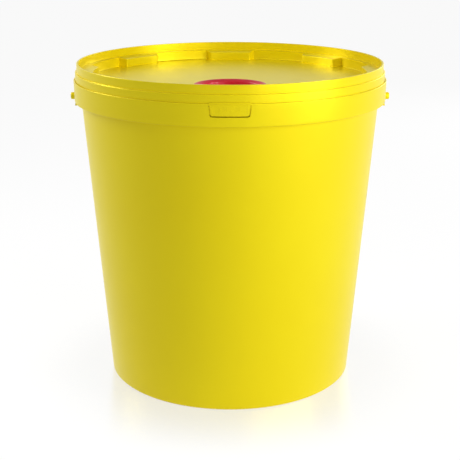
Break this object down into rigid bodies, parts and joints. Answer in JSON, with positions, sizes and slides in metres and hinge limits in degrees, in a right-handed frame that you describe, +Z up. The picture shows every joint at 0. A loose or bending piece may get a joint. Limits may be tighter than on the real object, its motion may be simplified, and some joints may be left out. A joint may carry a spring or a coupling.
{
  "type": "medical waste bucket",
  "caption": "Round tapered plastic bucket for medical waste, with a push-on recessed lid, a tear tab in its collar, bare handle pins and a press-in filling cap.",
  "frame": {"origin": "on the ground, at the centre of the base", "axes": "+Z up along the bucket's axis, -Y towards the tear tab, +X towards the right handle pin"},
  "size_m": [0.3298, 0.3204, 0.332],
  "materials": {
    "yellow_plastic": "satin injection-moulded polypropylene, opaque yellow",
    "red_plastic": "satin injection-moulded polypropylene, opaque red"
  },
  "bodies": {
    "bucket": {"bucket": "yellow_plastic"},
    "lid": {"lid": "yellow_plastic"},
    "cap": {"filling_cap": "red_plastic"}
  },
  "joints": [
    {"name": "lid_lift", "type": "slide", "parent": "bucket", "child": "lid", "axis": [0, 0, 1], "range_m": [0, 0.2]},
    {"name": "cap_pull", "type": "slide", "parent": "lid", "child": "cap", "axis": [0, 0, 1], "range_m": [0, 0.08]}
  ]
}
